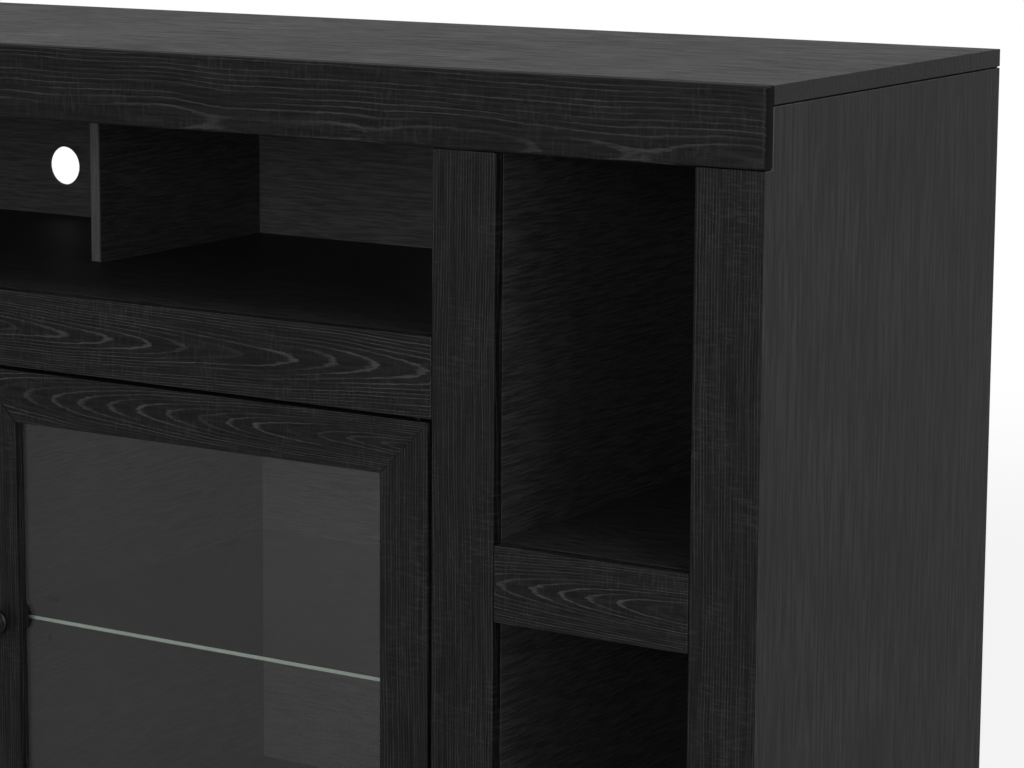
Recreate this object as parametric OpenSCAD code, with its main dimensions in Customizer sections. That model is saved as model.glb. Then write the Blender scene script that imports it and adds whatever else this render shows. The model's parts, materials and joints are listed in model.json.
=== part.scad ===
// Media cabinet with two glass doors, two open upper compartments and a pair of side bays.
// Millimetres. X runs along the width, Y from the front to the back and Z up from the floor.
// Modules are drawn with Y = 0 on the front plane, and placed() moves them to the part's origin.

/* [Overall] */
// Width over the side panels
cabinet_w = 1473; // [1250:1:1900]
// Depth from the front boards to the back edge of the sides
cabinet_d = 406; // [330:1:520]
// Height from the floor to the top
cabinet_h = 838; // [690:1:1050]

/* [Boards] */
// Thickness of the carcass boards
board_t = 15; // [14:0.5:20]
// Thickness of the boards on the front frame
front_t = 12; // [10:0.5:14.5]
// Thickness of the upright between the two upper compartments
divider_t = 10; // [9:0.5:18]
// Thickness of the back panels
back_t = 3; // [2.5:0.5:5]
// How far the back panels sit in from the back edge
back_inset = 1.5; // [1.5:0.5:4]
// Width of the rebate that takes the edge of a back panel
rebate_w = 7; // [5:0.5:9]

/* [Front frame] */
// Height of the long apron under the top
apron_h = 60; // [40:1:80]
// Width of each of the four posts
post_w = 56; // [45:1:68]
// Clear width of a side bay
bay_w = 167; // [130:1:205]
// Height of the rail above the doors
centre_rail_h = 64; // [50:1:78]
// Height of the rail that carries each side shelf
bay_rail_h = 60; // [48:1:75]
// Height of the rails at the bottom
bottom_rail_h = 64; // [50:1:78]
// Clear height under the bottom rails
leg_h = 67; // [50:1:82]

/* [Compartments] */
// Clear height of the upper compartments at the front
media_h = 143; // [115:1:175]
// How far the upright between them is set back
divider_setback = 164; // [130:1:200]
// Height of the side shelf above the bottom panel
bay_shelf_rise = 350; // [290:1:425]
// Height of the glass shelf above the bottom panel
glass_shelf_rise = 223; // [185:1:270]
// Thickness of the glass shelf
glass_shelf_t = 4; // [4:0.5:6]
// Set-back of the glass shelf's front edge
glass_setback = 27; // [23:1:60]
// Gap between the edges of a glass shelf and the boards
shelf_play = 1; // [0.5:0.5:1.5]

/* [Cable holes] */
// Radius of a cable hole in the back
cable_hole_r = 18.5; // [15:0.5:23]
// Distance of a cable hole from the middle
cable_hole_x = 229; // [185:1:280]
// Height of a cable hole above the board under it
cable_hole_rise = 48; // [38:1:60]

/* [Doors] */
// Gap round each door
door_gap = 3; // [2.5:0.5:4]
// Thickness of a door
door_t = 15; // [12.5:0.5:18]
// Width of the mitred door frame
frame_w = 44; // [36:1:54]
// Thickness of the door glass
door_glass_t = 4; // [3:0.5:5]
// Thickness of the wood in front of the glass
glass_lip_t = 5; // [4:0.5:6]
// Overlap of the frame over the glass
glass_lip_w = 8; // [6:0.5:10]
// Play between the glass and the rebate it lies in
glass_play = 0.5; // [0.5:0.25:1]

/* [Door pivots] */
// Least clearance between a swinging corner and the post beside it
corner_play = 0.5; // [0.4:0.1:0.8]
// Radius of a pivot pin
pivot_r = 2; // [1.75:0.25:2.25]
// Radial clearance of a pin in its bush
pivot_clear = 0.05; // [0.02:0.01:0.08]
// Radius of the outside of a bush
bush_r = 3.5; // [3.25:0.25:3.75]
// Length of a bush in its rail
bush_l = 12; // [9:1:14]
// Length of a pivot pin inside the door
pin_seat = 30; // [24:1:36]

/* [Door fittings] */
// Projection of a knob
knob_l = 22; // [18:1:27]
// Radius of a knob
knob_r = 14; // [11:1:17]
// Radius of the shank of a knob's screw
knob_screw_r = 2; // [1.5:0.5:2.5]
// Width of a magnetic catch
catch_w = 14; // [11:1:17]
// Height of a magnetic catch
catch_h = 44; // [36:1:54]
// Depth of a magnetic catch
catch_d = 10; // [8:0.5:12]
// Distance from the top of the doors down to the catches
catch_drop = 30; // [20:1:45]

/* [Feet and fixings] */
// Width of a block under the bottom panel
block_w = 32; // [26:1:38]
// Radius of a glide
glide_r = 10; // [8:1:12]
// Thickness of a glide
glide_t = 3; // [2.5:0.5:5]
// Radius of a shelf pin
shelf_pin_r = 2.5; // [2:0.25:3]
// Length of a shelf pin inside a board
shelf_pin_seat = 6; // [5:0.5:6.5]
// Length of a shelf pin under the glass
shelf_pin_out = 9; // [7:1:11]
// Radius of a dowel
dowel_r = 4; // [3:0.5:4.5]
// Radius of a cam lock
cam_r = 7.5; // [6:0.5:8.5]
// Radius of a cam bolt
cam_bolt_r = 3.5; // [2.5:0.5:4]

/* [Hidden] */
$fn = 48;

// Colours
BLACK_WOOD = [0.10, 0.095, 0.09];
DARK_INSIDE = [0.07, 0.068, 0.065];
GLASS = [0.75, 0.85, 0.82, 0.35];
STEEL = [0.6, 0.6, 0.62];
DARK_METAL = [0.16, 0.15, 0.15];
BLACK_PLASTIC = [0.06, 0.06, 0.06];
RAW_WOOD = [0.72, 0.58, 0.4];

// Planes across the width, all on the right half
side_out = cabinet_w / 2;
side_in = side_out - board_t;
bay_outer = side_out - post_w;
bay_inner = bay_outer - bay_w;
opening_edge = bay_inner - post_w;
partition_in = bay_inner - board_t;
partition_mid = bay_inner - board_t / 2;
centre_in = board_t / 2;

// Planes up the height
floor_top = leg_h + bottom_rail_h;
floor_under = floor_top - board_t;
top_under = cabinet_h - board_t;
apron_under = cabinet_h - apron_h;
centre_shelf_top = apron_under - media_h;
centre_shelf_under = centre_shelf_top - board_t;
centre_rail_under = centre_shelf_top - centre_rail_h;
bay_shelf_top = floor_top + bay_shelf_rise;
bay_shelf_under = bay_shelf_top - board_t;
glass_shelf_under = floor_top + glass_shelf_rise - glass_shelf_t;

// Planes through the depth
carcass_back = cabinet_d - back_inset - back_t;
front_y = -(cabinet_d - knob_l) / 2;
rebate_t = back_inset + back_t;

// Door
touching = 0.3;
door_outer = opening_edge - door_gap;
door_inner = door_gap / 2;
door_top = centre_rail_under - door_gap;
door_bottom = floor_top + door_gap;
// The back corner of a door clears the post when its radius about the pivot is the distance
// from the pivot to the post, less the play
pivot_back = (front_t + door_t) / 4;
corner_gap = door_gap - corner_play;
pivot_in = ((door_t - pivot_back) ^ 2 - corner_gap ^ 2) / (2 * corner_gap);
pivot_x = door_outer - pivot_in;
flange_r = bush_r + 1.5;
flange_t = 1;
collar_t = door_gap - flange_t - touching;
strike_t = 1.2;
strike_w = catch_w - 2;
strike_h = catch_h - 8;
knob_x = door_inner + frame_w / 2;
knob_z = (door_top + door_bottom) / 2;
knob_screw_seat = 10;
bead_gap = 0.2;
catch_top = door_top - catch_drop;
catch_front = door_t + strike_t + touching;
partition_front = door_t + 2 * touching;

// Fixings
pin_rows = [-32, 0, 32];
pin_inset = 60;
glide_nail_r = 1.25;
glide_nail_l = 14;
dowel_up = 10;
dowel_down = 20;
dowel_inset = 45;
cam_inset = 70;
cam_reach = 34;
cam_h = 11;
cam_bolt_seat = board_t / 2 - 0.5;
screw_r = 1.5;
screw_l = 16;
screw_head_r = 3.2;
screw_head_t = 1.4;
screw_inset = 118;
bay_mid = (bay_inner + side_in) / 2;

// A box between two corners
module slab(from, to) {
    translate(from) cube(to - from);
}

// A round bar along X, Y or Z from a point
module bar_x(at, r, l) { translate(at) rotate([0, 90, 0]) cylinder(r = r, h = l); }
module bar_y(at, r, l) { translate(at) rotate([-90, 0, 0]) cylinder(r = r, h = l); }
module bar_z(at, r, l) { translate(at) cylinder(r = r, h = l); }

// Moves a piece from the front plane to the part's origin, on the right or the left
module placed(side = 1) {
    translate([0, front_y, 0]) {
        if (side > 0) children();
        else mirror([1, 0, 0]) children();
    }
}

// Both halves of pieces that come in mirrored groups
module both_sides() {
    placed(1) children();
    placed(-1) children();
}

// ---- Where the fixings go ----

// Upright dowels stand at these depths in the sides and the partitions
dowel_ys = [front_t + dowel_inset, carcass_back - dowel_inset];
module top_dowels(x) {
    for (y = dowel_ys) bar_z([x, y, top_under - dowel_down], dowel_r, dowel_down + dowel_up);
}
module floor_dowels(x) {
    for (y = dowel_ys) bar_z([x, y, floor_top - dowel_up], dowel_r, dowel_down + dowel_up);
}

// Cam locks and their bolts at the end of a board; dir points into the board
cam_ys = [front_t + cam_inset, carcass_back - cam_inset];
module cam_bolts_at(end_x, under, dir, reach = cam_reach - cam_r) {
    low = dir > 0 ? end_x - cam_bolt_seat : end_x - reach;
    for (y = cam_ys) bar_x([low, y, under + board_t / 2], cam_bolt_r, reach + cam_bolt_seat);
}
// Holes for both in a board: the bolt's hole runs on into the hole of the lock
module cam_holes(end_x, under, dir) {
    for (y = cam_ys) bar_z([end_x + dir * cam_reach, y, under - 1], cam_r, cam_h + 1);
    cam_bolts_at(end_x, under, dir, cam_reach);
}

// Screws through the back panels; each row is [x, z]
screw_xs = [screw_inset, partition_in - screw_inset];
back_screw_rows = [
    for (x = screw_xs) [x, centre_shelf_top - board_t / 2],
    for (x = [each screw_xs, bay_mid]) [x, floor_top - board_t / 2],
    for (x = [each screw_xs, bay_mid]) [x, top_under + rebate_w / 2],
    [bay_mid, bay_shelf_top - board_t / 2]
];
module back_screw_shanks() {
    y = carcass_back + back_t - screw_l;
    for (p = back_screw_rows) bar_y([p[0], y, p[1]], screw_r, screw_l);
}

// Shelf pins; dir points from the board's face towards the glass
pin_ys = [glass_setback + pin_inset, carcass_back - pin_inset];
module pin_bars(face_x, dir, rise) {
    low = dir > 0 ? face_x - shelf_pin_seat : face_x - shelf_pin_out;
    z = glass_shelf_under - shelf_pin_r + rise;
    for (y = pin_ys) bar_x([low, y, z], shelf_pin_r, shelf_pin_seat + shelf_pin_out);
}
module pin_holes(face_x, dir) {
    for (rise = pin_rows) pin_bars(face_x, dir, rise);
}

// ---- Carcass ----

module top_panel() {
    color(BLACK_WOOD) placed() difference() {
        slab([-side_out, front_t, top_under], [side_out, cabinet_d, cabinet_h]);
        slab([-side_in - rebate_w, carcass_back, top_under - 1],
             [side_in + rebate_w, cabinet_d + 1, top_under + rebate_w]);
        for (side = [-1, 1]) {
            top_dowels(side * (side_out - board_t / 2));
            top_dowels(side * partition_mid);
            scale([side, 1, 1]) back_screw_shanks();
        }
    }
}

module apron() {
    color(BLACK_WOOD) placed()
        slab([-side_out, 0, apron_under], [side_out, front_t, cabinet_h]);
}

// The front edge of a side is mitred to the outer post and notched for the end of the apron
module side_panel() {
    difference() {
        translate([0, 0, glide_t]) linear_extrude(top_under - glide_t)
            polygon([[side_out, 0], [side_out, cabinet_d], [side_in, cabinet_d],
                     [side_in, front_t], [side_out - front_t, front_t]]);
        slab([side_in - 1, -1, apron_under], [side_out + 1, front_t, cabinet_h]);
        slab([side_in - 1, carcass_back, floor_under],
             [side_in + rebate_w, cabinet_d + 1, cabinet_h]);
        top_dowels(side_out - board_t / 2);
        cam_bolts_at(side_in, bay_shelf_under, -1);
        cam_bolts_at(side_in, floor_under, -1);
    }
}
module side_panel_left() { color(BLACK_WOOD) placed(-1) side_panel(); }
module side_panel_right() { color(BLACK_WOOD) placed(1) side_panel(); }

module partition() {
    difference() {
        slab([partition_in, front_t, floor_top], [bay_inner, carcass_back, top_under]);
        top_dowels(partition_mid);
        floor_dowels(partition_mid);
        cam_bolts_at(bay_inner, bay_shelf_under, 1);
        cam_bolts_at(partition_in, centre_shelf_under, -1);
        pin_holes(partition_in, -1);
    }
}
module partition_left() { color(DARK_INSIDE) placed(-1) partition(); }
module partition_right() { color(DARK_INSIDE) placed(1) partition(); }

module centre_partition() {
    color(DARK_INSIDE) placed() difference() {
        slab([-centre_in, partition_front, floor_top],
             [centre_in, carcass_back, centre_shelf_under]);
        pin_holes(centre_in, 1);
        pin_holes(-centre_in, -1);
    }
}

module upper_divider() {
    color(DARK_INSIDE) placed()
        slab([-divider_t / 2, divider_setback, centre_shelf_top],
             [divider_t / 2, carcass_back, top_under]);
}

module centre_shelf() {
    color(DARK_INSIDE) placed() difference() {
        slab([-partition_in, front_t, centre_shelf_under],
             [partition_in, carcass_back, centre_shelf_top]);
        for (side = [-1, 1]) {
            cam_holes(side * partition_in, centre_shelf_under, -side);
            scale([side, 1, 1]) back_screw_shanks();
        }
    }
}

module bay_shelf() {
    difference() {
        slab([bay_inner, front_t, bay_shelf_under], [side_in, carcass_back, bay_shelf_top]);
        cam_holes(bay_inner, bay_shelf_under, 1);
        cam_holes(side_in, bay_shelf_under, -1);
        back_screw_shanks();
    }
}
module bay_shelf_left() { color(DARK_INSIDE) placed(-1) bay_shelf(); }
module bay_shelf_right() { color(DARK_INSIDE) placed(1) bay_shelf(); }

module bottom_panel() {
    color(DARK_INSIDE) placed() difference() {
        slab([-side_in, front_t, floor_under], [side_in, carcass_back, floor_top]);
        for (side = [-1, 1]) {
            floor_dowels(side * partition_mid);
            cam_holes(side * side_in, floor_under, -side);
            scale([side, 1, 1]) back_screw_shanks();
        }
    }
}

module back_panel(x0, x1) {
    difference() {
        slab([x0, carcass_back, floor_under], [x1, carcass_back + back_t, top_under + rebate_w]);
        back_screw_shanks();
        scale([-1, 1, 1]) back_screw_shanks();
    }
}
module back_panel_left() {
    color(DARK_INSIDE) placed(-1) back_panel(partition_mid, side_in + rebate_w);
}
module back_panel_right() {
    color(DARK_INSIDE) placed(1) back_panel(partition_mid, side_in + rebate_w);
}
module back_panel_centre() {
    color(DARK_INSIDE) placed() difference() {
        back_panel(-partition_mid, partition_mid);
        for (side = [-1, 1], under = [floor_top, centre_shelf_top])
            bar_y([side * cable_hole_x, carcass_back - 1, under + cable_hole_rise],
                  cable_hole_r, back_t + 2);
    }
}

// ---- Front frame ----

module outer_post() {
    translate([0, 0, glide_t]) linear_extrude(apron_under - glide_t)
        polygon([[bay_outer, 0], [side_out, 0], [side_out - front_t, front_t],
                 [bay_outer, front_t]]);
}
module outer_post_left() { color(BLACK_WOOD) placed(-1) outer_post(); }
module outer_post_right() { color(BLACK_WOOD) placed(1) outer_post(); }

module inner_post() {
    slab([opening_edge, 0, glide_t], [bay_inner, front_t, apron_under]);
}
module inner_post_left() { color(BLACK_WOOD) placed(-1) inner_post(); }
module inner_post_right() { color(BLACK_WOOD) placed(1) inner_post(); }

// Rails over and under the doors, with the holes that take the pivot bushes
module centre_rail() {
    color(BLACK_WOOD) placed() difference() {
        slab([-opening_edge, 0, centre_rail_under], [opening_edge, front_t, centre_shelf_top]);
        for (side = [-1, 1])
            bar_z([side * pivot_x, pivot_back, centre_rail_under - 1], bush_r, bush_l + 1);
    }
}
module bottom_rail_centre() {
    color(BLACK_WOOD) placed() difference() {
        slab([-opening_edge, 0, leg_h], [opening_edge, front_t, floor_top]);
        for (side = [-1, 1])
            bar_z([side * pivot_x, pivot_back, floor_top - bush_l], bush_r, bush_l + 1);
    }
}

module bay_rail() {
    slab([bay_inner, 0, bay_shelf_top - bay_rail_h], [bay_outer, front_t, bay_shelf_top]);
}
module bay_rail_left() { color(BLACK_WOOD) placed(-1) bay_rail(); }
module bay_rail_right() { color(BLACK_WOOD) placed(1) bay_rail(); }

module bottom_rail_side() {
    slab([bay_inner, 0, leg_h], [bay_outer, front_t, floor_top]);
}
module bottom_rail_left() { color(BLACK_WOOD) placed(-1) bottom_rail_side(); }
module bottom_rail_right() { color(BLACK_WOOD) placed(1) bottom_rail_side(); }

// ---- Glass shelves, feet and fixings ----

module glass_shelf() {
    slab([centre_in + shelf_play, glass_setback, glass_shelf_under],
         [partition_in - shelf_play, carcass_back - shelf_play, glass_shelf_under + glass_shelf_t]);
}
module glass_shelf_left() { color(GLASS) placed(-1) glass_shelf(); }
module glass_shelf_right() { color(GLASS) placed(1) glass_shelf(); }

module shelf_pins() {
    color(STEEL) both_sides() {
        pin_bars(partition_in, -1, 0);
        pin_bars(centre_in, 1, 0);
    }
}

// A bush is a sleeve in its rail with a thin flange in the gap beside the door
module pivot_bush() {
    difference() {
        union() {
            cylinder(r = bush_r, h = bush_l);
            translate([0, 0, -flange_t]) cylinder(r = flange_r, h = flange_t);
        }
        translate([0, 0, -flange_t - 1])
            cylinder(r = pivot_r + pivot_clear, h = bush_l + flange_t + 2);
    }
}
module pivot_bushes() {
    color(STEEL) both_sides() {
        translate([pivot_x, pivot_back, centre_rail_under]) pivot_bush();
        translate([pivot_x, pivot_back, floor_top]) mirror([0, 0, 1]) pivot_bush();
    }
}

module magnet_catches() {
    color(BLACK_PLASTIC) both_sides()
        slab([centre_in, catch_front, catch_top - catch_h],
             [centre_in + catch_w, catch_front + catch_d, catch_top]);
}

// Blocks that carry the bottom panel, behind the posts, along the back and in the middle
post_mid = (opening_edge + bay_inner) / 2;
block_spots = [
    [side_in - block_w / 2, front_t + block_w / 2],
    [side_in - block_w / 2, carcass_back - block_w / 2],
    [post_mid, front_t + block_w / 2],
    [post_mid, carcass_back - block_w / 2]
];
middle_spot = [0, (front_t + carcass_back) / 2];
module at_blocks() {
    both_sides() for (p = block_spots) translate([p[0], p[1], 0]) children();
    placed() translate([middle_spot[0], middle_spot[1], 0]) children();
}
module glide_nail() {
    translate([0, 0, glide_t]) cylinder(r = glide_nail_r, h = glide_nail_l);
}
module leg_blocks() {
    color(RAW_WOOD) at_blocks() difference() {
        slab([-block_w / 2, -block_w / 2, glide_t], [block_w / 2, block_w / 2, floor_under]);
        glide_nail();
    }
}
module foot_glides() {
    color(BLACK_PLASTIC) at_blocks() {
        cylinder(r = glide_r, h = glide_t);
        glide_nail();
    }
}

module dowels() {
    color(RAW_WOOD) both_sides() {
        top_dowels(side_out - board_t / 2);
        top_dowels(partition_mid);
        floor_dowels(partition_mid);
    }
}

module cam_lock_row(end_x, under, dir) {
    for (y = cam_ys) translate([end_x + dir * cam_reach, y, under]) difference() {
        cylinder(r = cam_r, h = cam_h);
        slab([-cam_r * 0.6, -0.6, -1], [cam_r * 0.6, 0.6, 1.5]);
        slab([-0.6, -cam_r * 0.6, -1], [0.6, cam_r * 0.6, 1.5]);
    }
}
module cam_locks() {
    color(STEEL) both_sides() {
        cam_lock_row(partition_in, centre_shelf_under, -1);
        cam_lock_row(bay_inner, bay_shelf_under, 1);
        cam_lock_row(side_in, bay_shelf_under, -1);
        cam_lock_row(side_in, floor_under, -1);
    }
}
module cam_bolts() {
    color(STEEL) both_sides() {
        cam_bolts_at(partition_in, centre_shelf_under, -1);
        cam_bolts_at(bay_inner, bay_shelf_under, 1);
        cam_bolts_at(side_in, bay_shelf_under, -1);
        cam_bolts_at(side_in, floor_under, -1);
    }
}

module back_screws() {
    color(DARK_METAL) both_sides() {
        back_screw_shanks();
        for (p = back_screw_rows)
            bar_y([p[0], carcass_back + back_t, p[1]], screw_head_r, screw_head_t);
    }
}

// ---- Doors, drawn on the right ----

// Mitred members are outlines on the front plane, pushed back by the door's thickness
module member(points) {
    translate([0, door_t, 0]) rotate([90, 0, 0]) linear_extrude(door_t) polygon(points);
}
// The rebate for the glass and its beads, open to the back
module glass_rebate() {
    inner = frame_w - glass_lip_w;
    slab([door_inner + inner, glass_lip_t, door_bottom + inner],
         [door_outer - inner, door_t + 1, door_top - inner]);
}
module pivot_pin_bar(top) {
    low = top ? door_top - pin_seat : door_bottom - door_gap - bush_l;
    bar_z([pivot_x, pivot_back, low], pivot_r, pin_seat + door_gap + bush_l);
}
module strike_plate_at() {
    x = centre_in + catch_w / 2;
    z = catch_top - catch_h / 2;
    slab([x - strike_w / 2, door_t, z - strike_h / 2],
         [x + strike_w / 2, door_t + strike_t, z + strike_h / 2]);
}

module outer_stile() {
    difference() {
        member([[door_outer, door_bottom], [door_outer, door_top],
                [door_outer - frame_w, door_top - frame_w],
                [door_outer - frame_w, door_bottom + frame_w]]);
        glass_rebate();
        pivot_pin_bar(true);
        pivot_pin_bar(false);
    }
}
module inner_stile() {
    difference() {
        member([[door_inner, door_bottom], [door_inner, door_top],
                [door_inner + frame_w, door_top - frame_w],
                [door_inner + frame_w, door_bottom + frame_w]]);
        glass_rebate();
        bar_y([knob_x, -1, knob_z], knob_screw_r, door_t + 2);
    }
}
module top_rail() {
    difference() {
        member([[door_inner, door_top], [door_outer, door_top],
                [door_outer - frame_w, door_top - frame_w],
                [door_inner + frame_w, door_top - frame_w]]);
        glass_rebate();
        pivot_pin_bar(true);
    }
}
module bottom_rail() {
    difference() {
        member([[door_inner, door_bottom], [door_outer, door_bottom],
                [door_outer - frame_w, door_bottom + frame_w],
                [door_inner + frame_w, door_bottom + frame_w]]);
        glass_rebate();
        pivot_pin_bar(false);
    }
}
module door_glass() {
    inset = frame_w - glass_lip_w + glass_play;
    slab([door_inner + inset, glass_lip_t, door_bottom + inset],
         [door_outer - inset, glass_lip_t + door_glass_t, door_top - inset]);
}
// Four strips behind the glass, flush with the back of the door
module glass_beads() {
    inner = frame_w - glass_lip_w;
    x0 = door_inner + inner;
    x1 = door_outer - inner;
    z0 = door_bottom + inner;
    z1 = door_top - inner;
    y = glass_lip_t + door_glass_t;
    end = glass_lip_w + bead_gap;
    for (z = [z0, z1 - glass_lip_w]) slab([x0, y, z], [x1, door_t, z + glass_lip_w]);
    for (x = [x0, x1 - glass_lip_w])
        slab([x, y, z0 + end], [x + glass_lip_w, door_t, z1 - end]);
}
// A turned knob: a foot on the stile, a neck and a domed head
module knob() {
    foot_t = 3;
    neck_r = knob_r * 0.43;
    rim_at = knob_l * 0.62;
    crown_r = knob_r * 0.55;
    translate([knob_x, 0, knob_z]) rotate([90, 0, 0]) difference() {
        rotate_extrude() polygon([
            [0, 0], [knob_r * 0.7, 0], [knob_r * 0.7, foot_t], [neck_r, foot_t + 2],
            [neck_r, rim_at - 4], [knob_r * 0.85, rim_at - 1], [knob_r, rim_at],
            [knob_r, rim_at + 3], [knob_r * 0.85, knob_l - 2], [crown_r, knob_l],
            [0, knob_l]]);
        translate([0, 0, -1]) cylinder(r = knob_screw_r, h = knob_screw_seat + 1);
    }
}
module knob_screw() {
    bar_y([knob_x, -knob_screw_seat, knob_z], knob_screw_r, knob_screw_seat + door_t);
    bar_y([knob_x, door_t, knob_z], knob_screw_r * 2, 2);
}
// The bottom pin has a collar that carries the door over the bush
module pivot_pins() {
    pivot_pin_bar(true);
    pivot_pin_bar(false);
    bar_z([pivot_x, pivot_back, door_bottom - collar_t], flange_r, collar_t);
}

module door_left_outer_stile() { color(BLACK_WOOD) placed(-1) outer_stile(); }
module door_left_inner_stile() { color(BLACK_WOOD) placed(-1) inner_stile(); }
module door_left_top_rail() { color(BLACK_WOOD) placed(-1) top_rail(); }
module door_left_bottom_rail() { color(BLACK_WOOD) placed(-1) bottom_rail(); }
module door_left_glass() { color(GLASS) placed(-1) door_glass(); }
module door_left_beads() { color(BLACK_WOOD) placed(-1) glass_beads(); }
module door_left_knob() { color(DARK_METAL) placed(-1) knob(); }
module door_left_knob_screw() { color(STEEL) placed(-1) knob_screw(); }
module door_left_strike_plate() { color(STEEL) placed(-1) strike_plate_at(); }
module door_left_pivot_pins() { color(STEEL) placed(-1) pivot_pins(); }
module door_right_outer_stile() { color(BLACK_WOOD) placed() outer_stile(); }
module door_right_inner_stile() { color(BLACK_WOOD) placed() inner_stile(); }
module door_right_top_rail() { color(BLACK_WOOD) placed() top_rail(); }
module door_right_bottom_rail() { color(BLACK_WOOD) placed() bottom_rail(); }
module door_right_glass() { color(GLASS) placed() door_glass(); }
module door_right_beads() { color(BLACK_WOOD) placed() glass_beads(); }
module door_right_knob() { color(DARK_METAL) placed() knob(); }
module door_right_knob_screw() { color(STEEL) placed() knob_screw(); }
module door_right_strike_plate() { color(STEEL) placed() strike_plate_at(); }
module door_right_pivot_pins() { color(STEEL) placed() pivot_pins(); }

top_panel();
apron();
side_panel_left();
side_panel_right();
outer_post_left();
outer_post_right();
inner_post_left();
inner_post_right();
partition_left();
partition_right();
centre_partition();
upper_divider();
centre_shelf();
centre_rail();
bay_shelf_left();
bay_shelf_right();
bay_rail_left();
bay_rail_right();
bottom_panel();
bottom_rail_centre();
bottom_rail_left();
bottom_rail_right();
back_panel_left();
back_panel_centre();
back_panel_right();
glass_shelf_left();
glass_shelf_right();
shelf_pins();
pivot_bushes();
magnet_catches();
leg_blocks();
foot_glides();
dowels();
cam_locks();
cam_bolts();
back_screws();
door_left_outer_stile();
door_left_inner_stile();
door_left_top_rail();
door_left_bottom_rail();
door_left_glass();
door_left_beads();
door_left_knob();
door_left_knob_screw();
door_left_strike_plate();
door_left_pivot_pins();
door_right_outer_stile();
door_right_inner_stile();
door_right_top_rail();
door_right_bottom_rail();
door_right_glass();
door_right_beads();
door_right_knob();
door_right_knob_screw();
door_right_strike_plate();
door_right_pivot_pins();
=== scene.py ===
"""Media cabinet: the boards, doors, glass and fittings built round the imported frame.

Run as a script. Every size comes from the frame's own boxes, in metres, with X along the width,
Y from the front to the back and Z up from the floor.
"""

import json
import math

import bmesh
import bpy
import numpy as np
from bpy.props import FloatProperty, FloatVectorProperty, IntProperty, PointerProperty
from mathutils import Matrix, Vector

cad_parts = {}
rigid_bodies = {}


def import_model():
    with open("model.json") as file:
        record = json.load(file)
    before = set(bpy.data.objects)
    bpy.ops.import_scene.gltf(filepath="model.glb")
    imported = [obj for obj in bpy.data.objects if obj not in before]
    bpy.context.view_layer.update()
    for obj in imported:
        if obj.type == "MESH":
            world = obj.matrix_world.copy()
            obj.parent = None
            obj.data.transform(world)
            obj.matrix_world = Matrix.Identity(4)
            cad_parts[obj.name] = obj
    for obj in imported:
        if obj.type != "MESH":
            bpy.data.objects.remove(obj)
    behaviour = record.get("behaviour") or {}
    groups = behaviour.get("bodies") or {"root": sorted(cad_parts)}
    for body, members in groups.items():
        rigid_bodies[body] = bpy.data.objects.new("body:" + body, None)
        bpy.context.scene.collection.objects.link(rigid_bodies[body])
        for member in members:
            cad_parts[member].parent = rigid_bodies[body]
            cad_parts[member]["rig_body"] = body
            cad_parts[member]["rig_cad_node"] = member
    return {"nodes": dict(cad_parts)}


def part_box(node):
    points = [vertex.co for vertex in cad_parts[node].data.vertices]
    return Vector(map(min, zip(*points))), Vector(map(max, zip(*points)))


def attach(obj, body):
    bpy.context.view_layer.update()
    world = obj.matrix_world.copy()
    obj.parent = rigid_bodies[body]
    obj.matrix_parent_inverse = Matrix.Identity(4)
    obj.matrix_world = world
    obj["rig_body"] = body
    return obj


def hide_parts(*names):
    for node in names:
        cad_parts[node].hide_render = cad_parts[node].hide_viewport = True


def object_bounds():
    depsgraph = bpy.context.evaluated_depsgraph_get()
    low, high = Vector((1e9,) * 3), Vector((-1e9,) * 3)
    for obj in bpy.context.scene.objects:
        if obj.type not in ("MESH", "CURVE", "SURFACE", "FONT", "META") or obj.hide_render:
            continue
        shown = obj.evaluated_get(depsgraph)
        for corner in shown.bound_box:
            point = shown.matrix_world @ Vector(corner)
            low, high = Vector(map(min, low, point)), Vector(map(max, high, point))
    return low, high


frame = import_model()
CAD_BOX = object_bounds()

bl_info = {
    "name": "Media Cabinet",
    "version": (1, 0, 0),
    "blender": (4, 5, 0),
    "location": "View3D > Sidebar > Cabinet",
    "description": "Builds the boards, doors, glass and fittings of a media cabinet",
    "category": "Object",
}

MM = 0.001
CABINET = "cabinet"
DOORS = ("door_left", "door_right")
AXES = {"x": 0, "y": 1, "z": 2}

# Sizes of small shapes that only the looks need
SHARP = math.radians(35)  # an edge that turns less than this isn't eased
SHORT_EDGE = 12 * MM  # an edge of a board up to this long stays square
CARCASS_SHORT_EDGE = 14 * MM  # the same on carcass boards, for their notches
BACK_ROUND = 0.6 * MM
GROOVE_DEEP, GROOVE_TALL = 2.0 * MM, 1.1 * MM
BUSH_HOLE_RADIUS, BUSH_HOLE_DEEP = 3.5 * MM, 12 * MM
CORNER_HIGHLIGHT = 3 * MM  # width of the painted highlight strip at the cabinet's front corners
DIVIDER_ROUND, DIVIDER_BAND = 2.2 * MM, 2.5 * MM
BLOCK_SIDE, BLOCK_ROUND = 32 * MM, 1.5 * MM
BEAD_WIDE, BEAD_GAP, BEAD_ROUND = 8 * MM, 0.2 * MM, 1 * MM
CATCH_WIDE, CATCH_ROUND, CATCH_RIM, CATCH_SUNK = 14 * MM, 1.2 * MM, 2 * MM, 1 * MM


# ---- Sizes and finishes that a user would change ----


def tone(name, description, value):
    """A colour property."""
    return FloatVectorProperty(
        name=name, description=description, subtype="COLOR", size=3, min=0, max=1, default=value
    )


def length(name, description, value):
    """A length property in metres."""
    return FloatProperty(name=name, description=description, unit="LENGTH", min=0, default=value)


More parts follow.
